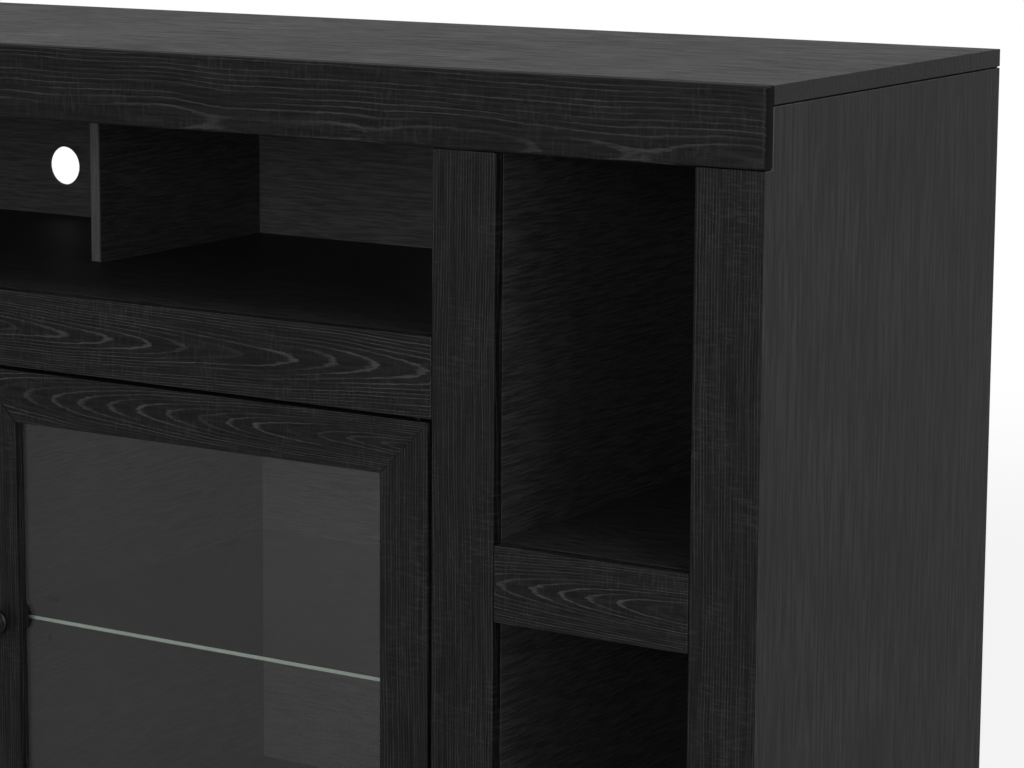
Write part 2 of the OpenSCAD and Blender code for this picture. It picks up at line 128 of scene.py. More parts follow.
class CabinetEdges(bpy.types.PropertyGroup):
    """How far the edges are eased"""

    front: length("Front boards", "Rounding of the long edges of the front boards", 1.6 * MM)
    apron: length("Apron", "Rounding of the edges of the apron", 2.8 * MM)
    carcass: length("Carcass boards", "Rounding of the edges of the carcass boards", 0.7 * MM)
    door: length("Door frames", "Rounding of the edges of the door frames", 1.2 * MM)
    mitre: length("Mitred corners", "Rounding of the corner where a post meets a side", 1.0 * MM)
    glass: length("Glass", "Ground edge of the glass", 0.5 * MM)
    steps: IntProperty(
        name="Steps", description="Faces across a rounded edge", default=2, min=1, max=6
    )


class CabinetWood(bpy.types.PropertyGroup):
    """The stain and the grain of the boards"""

    dark: tone("Stain", "Colour of the stained front boards", (0.0041, 0.0041, 0.0041))
    pale: tone("Grain", "Colour of the grain lines on the front boards", (0.085, 0.085, 0.085))
    panel: tone("Panels", "Colour of the top and the sides", (0.022, 0.022, 0.022))
    inside: tone("Inside", "Colour of the boards inside", (0.020, 0.020, 0.020))
    back: tone("Back", "Colour of the back panels", (0.025, 0.025, 0.025))
    ring: length("Ring width", "Distance between two grain lines", 1.8 * MM)
    rough: FloatProperty(
        name="Roughness", description="Roughness of the stain", subtype="FACTOR", min=0, max=1,
        default=0.5,
    )


class CabinetStage(bpy.types.PropertyGroup):
    """The floor, the light and the camera"""

    floor: tone("Floor", "Colour of the floor", (0.86, 0.86, 0.86))
    room: FloatProperty(name="Room", description="Light from all round", min=0, default=0.36)
    key: FloatProperty(name="Key", description="Power of the large lamp", unit="POWER", default=11)
    fill: FloatProperty(
        name="Fill", description="Power of the lamp in front", unit="POWER", default=62
    )
    radius: length("Floor radius", "Radius of the floor", 3.4)


# ---- Modelling ----


def start_clean():
    """Leaves edit mode and deselects everything."""
    if bpy.context.mode != "OBJECT":
        bpy.ops.object.mode_set(mode="OBJECT")
    bpy.ops.object.select_all(action="DESELECT")


def take(piece):
    """Selects one object alone and makes it the active one."""
    start_clean()
    piece.select_set(True)
    bpy.context.view_layer.objects.active = piece
    return piece


def block(name, low, high):
    """A block between two corners."""
    start_clean()
    low, high = Vector(low), Vector(high)
    bpy.ops.mesh.primitive_cube_add(size=1, location=(low + high) / 2)
    piece = bpy.context.object
    piece.scale = high - low
    bpy.ops.object.transform_apply(location=True, rotation=True, scale=True)
    piece.name = piece.data.name = name
    return piece


def bar(name, centre, radius, long):
    """An upright round bar."""
    start_clean()
    bpy.ops.mesh.primitive_cylinder_add(vertices=48, radius=radius, depth=long, location=centre)
    bpy.ops.object.transform_apply(location=True, rotation=True, scale=True)
    piece = bpy.context.object
    piece.name = piece.data.name = name
    return piece


def machined(node, name):
    """A copy of a machined board from the frame, with its faces merged."""
    take(frame["nodes"][node])
    bpy.ops.object.duplicate()
    piece = bpy.context.object
    piece.parent = None
    piece.data.materials.clear()
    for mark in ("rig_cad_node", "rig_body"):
        del piece[mark]
    piece.name = piece.data.name = name
    bpy.ops.object.mode_set(mode="EDIT")
    bpy.ops.mesh.select_all(action="SELECT")
    bpy.ops.mesh.remove_doubles(threshold=0.00001)
    bpy.ops.mesh.dissolve_limited(angle_limit=math.radians(0.5))
    bpy.ops.object.mode_set(mode="OBJECT")
    return piece


def saw(piece, at, away):
    """Saws a piece along a plane and drops the side that away points to."""
    take(piece)
    bpy.ops.object.mode_set(mode="EDIT")
    bpy.ops.mesh.select_all(action="SELECT")
    bpy.ops.mesh.bisect(plane_co=at, plane_no=away, use_fill=True, clear_outer=True)
    bpy.ops.object.mode_set(mode="OBJECT")


def carve(piece, tool):
    """Cuts a tool's shape out of a piece."""
    cut = piece.modifiers.new("cut", "BOOLEAN")
    cut.operation, cut.solver, cut.object = "DIFFERENCE", "EXACT", tool
    take(piece)
    bpy.ops.object.modifier_apply(modifier=cut.name)
    take(tool)
    bpy.ops.object.delete()


def pick_edges(piece, wanted):
    """Goes into edit mode with the sharp edges that wanted(middle, direction, length) accepts."""
    take(piece)
    bpy.ops.object.mode_set(mode="EDIT")
    bpy.ops.mesh.select_mode(type="EDGE")
    bpy.ops.mesh.select_all(action="DESELECT")
    mesh = bmesh.from_edit_mesh(piece.data)
    found = 0
    for edge in mesh.edges:
        if len(edge.link_faces) != 2 or edge.calc_face_angle(0) < SHARP:
            continue
        a, b = (v.co for v in edge.verts)
        long = (b - a).length
        if long > 0 and wanted((a + b) / 2, (b - a) / long, long):
            edge.select = True
            found += 1
    mesh.select_flush(True)
    bmesh.update_edit_mesh(piece.data)
    return found


def ease(piece, width, steps, wanted):
    """Rounds the edges that wanted accepts."""
    if pick_edges(piece, wanted):
        bpy.ops.mesh.bevel(
            offset=width, offset_type="OFFSET", segments=steps, affect="EDGES", clamp_overlap=True
        )
    bpy.ops.object.mode_set(mode="OBJECT")


def along(axis):
    """Accepts the long edges that run along an axis."""
    return lambda middle, way, long: abs(way[AXES[axis]]) > 0.999 and long > SHORT_EDGE


def longer_than(least):
    """Accepts every edge over a length."""
    return lambda middle, way, long: long > least


def join(pieces, name):
    """Joins pieces into one."""
    start_clean()
    for piece in pieces:
        piece.select_set(True)
    bpy.context.view_layer.objects.active = pieces[0]
    bpy.ops.object.join()
    piece = bpy.context.object
    piece.name = piece.data.name = name
    return piece


def turned(name, foot, profile, way, sides=48):
    """A turned piece: a disc drawn out along a profile of (distance from the foot, radius)."""
    start_clean()
    foot, way = Vector(foot), Vector(way)
    turn = way.to_track_quat("Z", "Y").to_euler()
    bpy.ops.mesh.primitive_circle_add(
        vertices=sides, radius=profile[0][1], fill_type="NGON", location=foot, rotation=turn
    )
    piece = bpy.context.object
    bpy.ops.object.transform_apply(location=True, rotation=True, scale=True)
    bpy.ops.object.mode_set(mode="EDIT")
    bpy.ops.mesh.select_all(action="SELECT")
    for (last, wide), (at, radius) in zip(profile, profile[1:]):
        bpy.ops.mesh.extrude_region_move(TRANSFORM_OT_translate={"value": way * (at - last)})
        bpy.ops.transform.resize(value=(radius / wide,) * 3, center_override=foot + way * at)
    bpy.ops.mesh.select_all(action="SELECT")
    bpy.ops.mesh.normals_make_consistent(inside=False)
    bpy.ops.object.mode_set(mode="OBJECT")
    piece.name = piece.data.name = name
    return piece


# ---- Finishing a piece ----


def soft_shading(piece, angle=40):
    """Smooth shading over the rounded edges, with the flat faces kept flat."""
    take(piece)
    bpy.ops.object.shade_smooth_by_angle(angle=math.radians(angle))
    flat = piece.modifiers.new("flat", "WEIGHTED_NORMAL")
    flat.keep_sharp = True
    bpy.ops.object.modifier_apply(modifier=flat.name)


def lay_grain(piece, run, face, heart, height, slope, seed):
    """Writes where each point lies in the log: along the grain, across the heart and above it."""
    points = np.array([v.co for v in piece.data.vertices])
    low, high = points.min(0), points.max(0)
    run, face = AXES[run], AXES[face]
    deep = 3 - run - face
    middle = (low[run] + high[run]) / 2
    place = np.empty_like(points)
    place[:, 0] = points[:, run] + seed * 3.7
    place[:, 1] = points[:, face] - (low[face] + heart * (high[face] - low[face]))
    place[:, 2] = height + slope * (points[:, run] - middle) + (points[:, deep] - low[deep])
    mark = piece.data.attributes.new("grain", "FLOAT_VECTOR", "POINT")
    mark.data.foreach_set("vector", place.astype(np.float32).ravel())


def everywhere(point):
    """Accepts every point."""
    return True


def mark_arrises(piece, width, kept=everywhere):
    """Writes 1 on the crown of each rounded edge that is kept and 0 elsewhere."""
    crown = np.ones(len(piece.data.vertices), np.float32)
    for face in piece.data.polygons:
        points = [piece.data.vertices[i].co for i in face.vertices]
        longest = max((a - b).length for a, b in zip(points, points[1:] + points[:1]))
        if face.area / max(longest, 1e-9) > 1.3 * width:
            crown[list(face.vertices)] = 0
    crown *= [kept(v.co) for v in piece.data.vertices]
    mark = piece.data.attributes.new("arris", "FLOAT", "POINT")
    mark.data.foreach_set("value", crown)


def hand_over(piece, body, finish, node):
    """Gives a piece its finish and its body, and hides the node that it stands for."""
    if not piece.data.materials:
        piece.data.materials.append(finish_named(finish))
    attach(piece, body)
    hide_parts(node)


# ---- Node trees ----


def put(tree, kind, feeds=None, **settings):
    """Adds a node, sets it, and feeds its sockets with values or other sockets."""
    node = tree.nodes.new(kind)
    for name, value in settings.items():
        setattr(node, name, value)
    for name, value in (feeds or {}).items():
        if isinstance(value, bpy.types.NodeSocket):
            tree.links.new(value, node.inputs[name])
        else:
            node.inputs[name].default_value = value
    return node


def sums(tree, operation, *values):
    """A Math node's result."""
    return put(tree, "ShaderNodeMath", dict(enumerate(values)), operation=operation).outputs[0]


def times(tree, first, second):
    """Two values multiplied."""
    return sums(tree, "MULTIPLY", first, second)


def scaled(tree, vector, factors):
    """A vector times three factors."""
    feeds = {0: vector, 1: factors}
    return put(tree, "ShaderNodeVectorMath", feeds, operation="MULTIPLY").outputs[0]


def cloud(tree, vector, factors, detail=2.0, rough=0.5):
    """A noise value from 0 to 1, stretched by three factors."""
    stretched = scaled(tree, vector, factors)
    feeds = {"Vector": stretched, "Scale": 1, "Detail": detail, "Roughness": rough}
    return put(tree, "ShaderNodeTexNoise", feeds).outputs[0]


def ramp(tree, value, low, high, to_low=0.0, to_high=1.0, kind="SMOOTHSTEP"):
    """A value mapped from one span to another."""
    feeds = {"Value": value, "From Min": low, "From Max": high, "To Min": to_low, "To Max": to_high}
    return put(tree, "ShaderNodeMapRange", feeds, interpolation_type=kind).outputs[0]


def blend_colours(tree, share, first, second):
    """Two colours mixed."""
    first, second = (
        colour if isinstance(colour, bpy.types.NodeSocket) else (*colour, 1)
        for colour in (first, second)
    )
    feeds = {0: share, 6: first, 7: second}
    return put(tree, "ShaderNodeMix", feeds, data_type="RGBA").outputs[2]


def new_group(name, takes, gives):
    """An empty shader node group with its sockets; takes holds (name, kind, default)."""
    group = bpy.data.node_groups.new(name, "ShaderNodeTree")
    for title, kind, value in takes:
        socket = group.interface.new_socket(title, in_out="INPUT", socket_type=kind)
        if value is not None:
            socket.default_value = value
    for title in gives:
        group.interface.new_socket(title, in_out="OUTPUT", socket_type="NodeSocketFloat")
    return group, group.nodes.new("NodeGroupInput"), group.nodes.new("NodeGroupOutput")


def board_grain():
    """Rings of a plain-sawn board: pale lines, fine fibre and faint marks across the grain."""
    group, given, out = new_group(
        "board_grain",
        [
            ("Place", "NodeSocketVector", None),
            ("Ring width", "NodeSocketFloat", 0.003),
            ("Heart wander", "NodeSocketFloat", 0.01),
            ("Wave", "NodeSocketFloat", 0.5),
            ("Fibre width", "NodeSocketFloat", 0.003),
        ],
        ["Line", "Fibre", "Marks"],
    )
    place, ring, wander, wave, width = (given.outputs[i] for i in range(5))
    apart = put(group, "ShaderNodeSeparateXYZ", {0: place}).outputs
    # Distance from the log's heart, which wanders along the board
    rise = sums(group, "MULTIPLY_ADD", cloud(group, place, (4.0, 9.0, 2.0)), wander, apart[2])
    drift = sums(group, "MULTIPLY_ADD", cloud(group, place, (3.1, 0.0, 0.0)), 0.014, apart[1])
    drift = sums(group, "SUBTRACT", drift, 0.007)
    squares = [sums(group, "POWER", sums(group, "ABSOLUTE", side), 2.0) for side in (drift, rise)]
    radius = sums(group, "SQRT", sums(group, "ADD", *squares))
    # Rings, with a slow wave and a fine jag
    bend = times(group, cloud(group, place, (15.0, 32.0, 20.0), 3.0), wave)
    jag = times(group, cloud(group, place, (85.0, 480.0, 300.0), 2.0, 0.6), 0.44)
    phase = sums(group, "ADD", sums(group, "DIVIDE", radius, ring), sums(group, "ADD", bend, jag))
    turn = sums(group, "FRACT", phase)
    count = sums(group, "FLOOR", phase)
    line = times(group, ramp(group, turn, 0.68, 0.88), ramp(group, turn, 0.93, 1.0, 1.0, 0.0))
    # Each ring fades in and out along the board, and is broken by fine streaks
    spots = {0: times(group, apart[0], 7.0), 1: times(group, count, 3.7)}
    spot = put(group, "ShaderNodeCombineXYZ", spots).outputs[0]
    noise = {"Vector": spot, "Scale": 1.0, "Detail": 1.0}
    fade = put(group, "ShaderNodeTexNoise", noise).outputs[0]
    line = times(group, line, ramp(group, fade, 0.34, 0.62, 0.12, 1.0))
    streaks = cloud(group, place, (30.0, 900.0, 700.0), 2.0)
    line = times(group, line, ramp(group, streaks, 0.25, 0.6, 0.4, 1.0))
    # Fibre along the grain, and patches of short marks across it
    fine = put(group, "ShaderNodeVectorMath",
               {0: place, "Scale": sums(group, "DIVIDE", 1.0, width)}, operation="SCALE").outputs[0]
    fibre = ramp(group, cloud(group, fine, (0.05, 1.0, 0.7), 4.0, 0.72), 0.40, 0.62)
    strokes = ramp(group, cloud(group, place, (520.0, 75.0, 40.0), 2.0, 0.6), 0.48, 0.68)
    patches = ramp(group, cloud(group, place, (16.0, 26.0, 9.0), 2.0), 0.30, 0.68)
    marks = times(group, strokes, patches)
    for name, value in (("Line", line), ("Fibre", fibre), ("Marks", marks)):
        group.links.new(value, out.inputs[name])
    return group


def edge_wear_and_highlight():
    """Where the stain is rubbed thin along the rounded edges, and where the corner posts and the
    sides get a painted highlight on them.
    """
    group, given, out = new_group(
        "edge_wear_and_highlight",
        [("Place", "NodeSocketVector", None), ("Arris", "NodeSocketFloat", 0.0)],
        ["Wear"],
    )
    patches = cloud(group, given.outputs[0], (22.0, 60.0, 60.0), 3.0)
    patchy = ramp(group, patches, 0.35, 0.7, 0.25, 1.0)
    group.links.new(times(group, patchy, given.outputs[1]), out.inputs[0])
    return group


def handling():
    """Faint smudges and dust that break up the gloss."""
    takes = [("Place", "NodeSocketVector", None)]
    group, given, out = new_group("handling", takes, ["Smudge", "Dust"])
    smudge = ramp(group, cloud(group, given.outputs[0], (7.0, 7.0, 7.0), 4.0, 0.6), 0.3, 0.75)
    dust = ramp(group, cloud(group, given.outputs[0], (700.0, 700.0, 700.0), 1.0), 0.66, 0.78)
    group.links.new(smudge, out.inputs[0])
    group.links.new(dust, out.inputs[1])
    return group


def from_group(tree, maker, feeds):
    """Places a shared group, made once, in a material."""
    group = bpy.data.node_groups.get(maker.__name__) or maker()
    return put(tree, "ShaderNodeGroup", feeds, node_tree=group).outputs


def new_finish(name):
    """A material with a Principled shader alone."""
    finish = bpy.data.materials.new(name)
    finish.use_nodes = True
    tree = finish.node_tree
    tree.nodes.clear()
    shader = tree.nodes.new("ShaderNodeBsdfPrincipled")
    out = tree.nodes.new("ShaderNodeOutputMaterial")
    tree.links.new(shader.outputs[0], out.inputs[0])
    return finish, tree, shader, out


def attribute(tree, name, output):
    """A value or a vector written on the piece."""
    return put(tree, "ShaderNodeAttribute", attribute_name=name).outputs[output]


def shade(colour, by):
    """A colour made lighter or darker."""
    return [c * by for c in colour]


def bump(tree, shader, height, depth):
    """Relief of a given depth in metres."""
    node = put(tree, "ShaderNodeBump", {"Height": height, "Distance": depth, "Strength": 1.0})
    tree.links.new(node.outputs[0], shader.inputs["Normal"])


def wood(name, dark, pale, ring, wander=0.012, wave=0.5, lines=0.6, fibres=0.75, fibre=0.0024,
         marks=0.14, edge=0.1, rough=0.5, relief=0.12 * MM, gloss=0.17, sheen=0.14, worn=None,
         turn=(0, 0, 0)):
    """Stained wood with its rings, fibre and eased edges.

    ring and fibre are widths in metres, wander is how far the heart strays, and wave bends the
    rings. lines, fibres, marks and edge are shares of the paler colour. The colour given for the
    rubbed edges paints wear, and on the corner posts and the sides a painted highlight on the eased
    edges; turn turns the grain on the piece.
    """
    finish, tree, shader, _ = new_finish(name)
    place = attribute(tree, "grain", "Vector")
    if any(turn):
        place = put(tree, "ShaderNodeMapping", {"Vector": place, "Rotation": turn}).outputs[0]
    grain = from_group(
        tree, board_grain,
        {"Place": place, "Ring width": ring, "Heart wander": wander, "Wave": wave,
         "Fibre width": fibre},
    )
    smudge = from_group(tree, handling, {"Place": place})[0]
    # rubbed wear on the eased edges; on the corner posts and the sides it is a painted highlight
    arris = attribute(tree, "arris", "Fac")
    wear_and_highlight_mask = from_group(tree, edge_wear_and_highlight, {"Place": place, "Arris": arris})[0]
    colour = blend_colours(tree, times(tree, grain["Fibre"], fibres), dark,
                           [min(1, d * 2.6 + 0.003) for d in dark])
    colour = blend_colours(tree, times(tree, smudge, 0.35), colour, shade(dark, 1.7))
    colour = blend_colours(tree, times(tree, grain["Line"], lines), colour, pale)
    colour = blend_colours(tree, times(tree, grain["Marks"], marks), colour, pale)
    colour = blend_colours(tree, times(tree, wear_and_highlight_mask, edge), colour, worn or pale)
    tree.links.new(colour, shader.inputs["Base Color"])
    gloss_map = sums(tree, "MULTIPLY_ADD", grain["Line"], 0.12,
                     sums(tree, "MULTIPLY_ADD", smudge, 0.06,
                          sums(tree, "MULTIPLY_ADD", grain["Fibre"], sheen, rough - 0.7 * sheen)))
    tree.links.new(gloss_map, shader.inputs["Roughness"])
    shader.inputs["Specular IOR Level"].default_value = gloss
    relief_map = sums(tree, "MULTIPLY_ADD", grain["Line"], 0.7,
                      times(tree, grain["Fibre"], 0.3))
    bump(tree, shader, relief_map, relief)
    return finish


def metal(name, colour, rough, metallic=1.0, brush=(40, 40, 900)):
    """Plated or painted metal with fine tool marks and smudges."""
    finish, tree, shader, _ = new_finish(name)
    place = put(tree, "ShaderNodeTexCoord").outputs["Object"]
    scratch = cloud(tree, place, brush, 3.0, 0.6)
    smudge, dust = from_group(tree, handling, {"Place": place})
    tint = blend_colours(tree, times(tree, scratch, 0.5), colour, shade(colour, 0.62))
    tint = blend_colours(tree, times(tree, dust, 0.1), tint, (0.3, 0.3, 0.3))
    tree.links.new(tint, shader.inputs["Base Color"])
    tree.links.new(sums(tree, "MULTIPLY_ADD", smudge, 0.12, rough), shader.inputs["Roughness"])
    shader.inputs["Metallic"].default_value = metallic
    bump(tree, shader, scratch, 0.02 * MM)
    return finish


def plastic(name, colour, rough):
    """Moulded plastic with a fine spark texture."""
    finish, tree, shader, _ = new_finish(name)
    place = put(tree, "ShaderNodeTexCoord").outputs["Object"]
    spark = cloud(tree, place, (1800, 1800, 1800), 1.0)
    smudge, dust = from_group(tree, handling, {"Place": place})
    tint = blend_colours(tree, times(tree, smudge, 0.5), colour, shade(colour, 1.8))
    tint = blend_colours(tree, times(tree, dust, 0.2), tint, (0.2, 0.2, 0.2))
    tree.links.new(tint, shader.inputs["Base Color"])
    tree.links.new(sums(tree, "MULTIPLY_ADD", spark, 0.15, rough), shader.inputs["Roughness"])
    bump(tree, shader, spark, 0.03 * MM)
    return finish


def raw_wood(name, pale, dark):
    """Bare softwood for the dowels, with upright grain."""
    finish, tree, shader, _ = new_finish(name)
    place = put(tree, "ShaderNodeTexCoord").outputs["Object"]
    turned_up = {"Vector": place, "Rotation": (0, math.pi / 2, 0)}
    upright = put(tree, "ShaderNodeMapping", turned_up).outputs[0]
    feeds = {"Place": upright, "Ring width": 0.0032, "Heart wander": 0.02}
    grain = from_group(tree, board_grain, feeds)
    colour = blend_colours(tree, grain["Fibre"], pale, shade(pale, 0.85))
    colour = blend_colours(tree, times(tree, grain["Line"], 0.8), colour, dark)
    tree.links.new(colour, shader.inputs["Base Color"])
    shader.inputs["Roughness"].default_value = 0.7
    bump(tree, shader, grain["Fibre"], 0.08 * MM)
    return finish


def clear_glass(name, tint):
    """Float glass that lets lamplight through, with a faint film of smudges on it."""
    finish, tree, shader, out = new_finish(name)
    place = put(tree, "ShaderNodeTexCoord").outputs["Object"]
    smudge = from_group(tree, handling, {"Place": place})[0]
    tree.links.new(times(tree, smudge, 0.06), shader.inputs["Coat Weight"])
    shader.inputs["Coat Roughness"].default_value = 0.2
    shader.inputs["Roughness"].default_value = 0
    shader.inputs["Base Color"].default_value = (*tint, 1)
    shader.inputs["IOR"].default_value = 1.5
    shader.inputs["Transmission Weight"].default_value = 1
    passing = put(tree, "ShaderNodeBsdfTransparent", {"Color": (*shade(tint, 0.92), 1)})
    path = put(tree, "ShaderNodeLightPath")
    mix = put(tree, "ShaderNodeMixShader", {0: path.outputs["Is Shadow Ray"], 1: shader.outputs[0],
                                            2: passing.outputs[0]})
    tree.links.new(mix.outputs[0], out.inputs[0])
    return finish


def ground_glass(name, colour):
    """The ground edge of a sheet of glass."""
    finish, tree, shader, _ = new_finish(name)
    place = put(tree, "ShaderNodeTexCoord").outputs["Object"]
    grind = cloud(tree, place, (60, 60, 1400), 2.0)
    tint = blend_colours(tree, grind, colour, shade(colour, 0.75))
    tree.links.new(tint, shader.inputs["Base Color"])
    tree.links.new(sums(tree, "MULTIPLY_ADD", grind, 0.2, 0.2), shader.inputs["Roughness"])
    bump(tree, shader, grind, 0.03 * MM)
    return finish


def grey(level):
    """A neutral grey."""
    return (level, level, level)


def finish_named(name):
    """Every finish on the cabinet, made when it is first asked for."""
    made = bpy.data.materials.get(name)
    if made:
        return made
    look = bpy.context.scene.cabinet_wood
    dark, pale = tuple(look.dark), tuple(look.pale)
    panel, inside, back = tuple(look.panel), tuple(look.inside), tuple(look.back)
    post = dict(wander=0.006, wave=0.45, lines=0.46, rough=look.rough)
    panel_cut = dict(wander=0.010, wave=0.9, fibres=1.0, marks=0.1)
    inner_cut = dict(wander=0.008, wave=0.4, marks=0.1)
    inner = dict(inner_cut, lines=0.12, fibres=0.9, fibre=0.0015, rough=0.55, relief=0.06 * MM)
    makers = {
        "front_wood": lambda: wood(name, dark, pale, look.ring, wander=0.007, lines=0.62,
                                   rough=look.rough),
        "apron_wood": lambda: wood(name, dark, pale, 0.0034, wander=0.024, wave=0.45, lines=0.46,
                                   edge=0, rough=look.rough),
        # painted shade: the ends of the apron are made far darker than its front and the sides
        "apron_end_painted_shade": lambda: wood(name, grey(0.002), grey(0.012), 0.004, lines=0.3, marks=0,
                                       edge=0, rough=0.6, gloss=0.1),
        "post_wood": lambda: wood(name, dark, pale, 0.0022, **post),
        # painted highlight: a pale strip on the rounded corner of each outer post
        "corner_post_wood_painted_highlight": lambda: wood(name, dark, pale, 0.0022, edge=1, worn=grey(0.5), **post),
        # painted shade: the top is a darker copy of the sides' colour
        "top_wood_painted_shade": lambda: wood(name, shade(panel, 0.46), shade(panel, 1.25), 0.0060, lines=0.3,
                                 fibre=0.0022, rough=0.43, gloss=0.28, sheen=0.22, **panel_cut),
        # painted highlight: the eased edges of the sides are made pale
        "side_wood_painted_highlight": lambda: wood(name, panel, shade(panel, 2.6), 0.0060, lines=0.35, edge=0.8,
                                  fibre=0.0035, rough=0.45, relief=0.10 * MM, gloss=0.15,
                                  worn=grey(0.15), **panel_cut),
        "inside_wood_painted_highlight": lambda: wood(name, inside, shade(inside, 3), 0.0032, gloss=0.22, **inner),
        # painted shade: the shelves are a darker copy of the inside boards
        "shelf_wood": lambda: wood(name, shade(inside, 0.75), shade(inside, 2), 0.0032, gloss=0.08,
                                   **inner),
        "back_wood": lambda: wood(name, back, shade(back, 2), 0.0032, lines=0.1, fibres=0.7,
                                  fibre=0.0018, rough=0.6, relief=0.05 * MM, gloss=0.3,
                                  **inner_cut),
        "edge_band": lambda: wood(name, grey(0.055), grey(0.12), 0.0025, wander=0.004, wave=0.3,
                                  lines=0.4, fibres=0.4, marks=0, turn=(0, 0, math.pi / 2)),
        "bare_wood": lambda: raw_wood(name, (0.42, 0.33, 0.22), (0.24, 0.16, 0.09)),
        "knob_dark_metal": lambda: metal(name, (0.05, 0.05, 0.052), 0.36, brush=(300, 300, 300)),
        "bright_steel": lambda: metal(name, (0.56, 0.56, 0.58), 0.3),
        "dark_steel": lambda: metal(name, (0.016, 0.016, 0.017), 0.55),
        "moulded_black": lambda: plastic(name, (0.012, 0.012, 0.013), 0.45),
        "door_pane_glass": lambda: clear_glass(name, (0.941, 0.945, 0.943)),
        "shelf_sheet_glass": lambda: clear_glass(name, (0.93, 0.95, 0.942)),
        "glass_edge": lambda: ground_glass(name, (0.27, 0.32, 0.28)),
    }
    return makers[name]()


# ---- The pieces ----

# Each board: the axis that the grain runs along, the axis across the board's face, where the heart
# lies as a share of the face, how high above the heart the board was cut, the slope of the grain,
# and the finish. The carcass boards end with the record's slot.
FRONT_BOARDS = {
    "apron": ("x", "z", 0.10, 0.008, 0.004, "apron_wood"),
    "centre_rail": ("x", "z", 0.53, 0.006, 0.040, "front_wood"),
    "bay_rail_left": ("x", "z", 0.50, 0.012, 0.05, "front_wood"),
    "bay_rail_right": ("x", "z", 0.50, 0.010, -0.075, "front_wood"),
    "bottom_rail_centre": ("x", "z", 0.35, 0.006, -0.020, "front_wood"),
    "bottom_rail_left": ("x", "z", 0.6, 0.012, 0.04, "front_wood"),
    "bottom_rail_right": ("x", "z", 0.45, 0.012, -0.05, "front_wood"),
    "outer_post_left": ("z", "x", 2.1, 0.03, 0.01, "corner_post_wood_painted_highlight"),
    "outer_post_right": ("z", "x", -1.0, 0.03, 0.01, "corner_post_wood_painted_highlight"),
    "inner_post_left": ("z", "x", 2.0, 0.03, -0.01, "post_wood"),
    "inner_post_right": ("z", "x", -1.2, 0.03, 0.01, "post_wood"),
}
CARCASS_BOARDS = {
    "top_panel": ("x", "y", -0.3, 0.03, 0.01, "top_wood_painted_shade", "black_wood"),
    "side_panel_left": ("z", "y", 1.4, 0.03, 0.01, "side_wood_painted_highlight", "black_wood"),
    "side_panel_right": ("z", "y", -0.4, 0.03, 0.01, "side_wood_painted_highlight", "black_wood"),
    "partition_left": ("y", "z", 0.3, 0.02, 0.01, "inside_wood_painted_highlight", "black_wood_inside"),
    "partition_right": ("y", "z", 0.6, 0.02, 0.01, "inside_wood_painted_highlight", "black_wood_inside"),
    "centre_partition": ("y", "z", 0.4, 0.02, 0.01, "inside_wood_painted_highlight", "black_wood_inside"),
    # the shelves take the darker copy of the inside wood, a painted shade
    "centre_shelf": ("x", "y", 0.7, 0.02, 0.01, "shelf_wood", "black_wood_inside"),
    "bay_shelf_left": ("x", "y", 0.3, 0.02, 0.01, "shelf_wood", "black_wood_inside"),
    "bay_shelf_right": ("x", "y", 0.6, 0.02, 0.01, "shelf_wood", "black_wood_inside"),
    "bottom_panel": ("x", "y", 0.4, 0.02, 0.01, "shelf_wood", "black_wood_inside"),
    "back_panel_left": ("x", "z", 0.4, 0.02, 0.01, "back_wood", "back_board"),
    "back_panel_centre": ("x", "z", 0.7, 0.02, 0.01, "back_wood", "back_board"),
    "back_panel_right": ("x", "z", 0.2, 0.02, 0.01, "back_wood", "back_board"),
}
# Parts of the frame that are kept, and their finishes
KEPT_FITTINGS = {
    "shelf_pins": "dark_steel",
    "pivot_bushes": "dark_steel",
    "foot_glides": "moulded_black",
    "dowels": "bare_wood",
    "cam_locks": "bright_steel",
    "cam_bolts": "bright_steel",
    "back_screws": "dark_steel",
}
for door in DOORS:
    KEPT_FITTINGS[door + "_knob_screw"] = KEPT_FITTINGS[door + "_strike_plate"] = "bright_steel"
    KEPT_FITTINGS[door + "_pivot_pins"] = "dark_steel"


def seed_of(node):
    """A small whole number for each node, the same each time."""
    return sorted(frame["nodes"]).index(node) + 1


def two_finishes(piece, first, second, on_second):
    """Gives a piece its first finish, and its second on the faces that on_second accepts."""
    for finish in (first, second):
        piece.data.materials.append(finish_named(finish))
    for face in piece.data.polygons:
        face.material_index = int(on_second(face))


def groove_under(top):
    """A shadow groove along the lower edge of both ends of the top panel."""
    low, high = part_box("top_panel")
    past = 2 * MM
    for start, stop in ((low.x - past, low.x + GROOVE_DEEP), (high.x - GROOVE_DEEP, high.x + past)):
        carve(top, block("groove", (start, low.y - past, low.z - past),
                         (stop, high.y + past, low.z + GROOVE_TALL)))


def drill_bushes(rail):
    """Holes in a rail for the bushes of both doors."""
    low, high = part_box(rail.name.replace("_board", ""))
    for door in DOORS:
        pin_low, pin_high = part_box(door + "_pivot_pins")
        middle = (pin_low + pin_high) / 2
        over = middle.z < low.z
        end = low.z if over else high.z
        inwards = BUSH_HOLE_DEEP / 2 if over else -BUSH_HOLE_DEEP / 2
        centre = (middle.x, middle.y, end + inwards)
        carve(rail, bar("drill", centre, BUSH_HOLE_RADIUS, BUSH_HOLE_DEEP + 0.4 * MM))


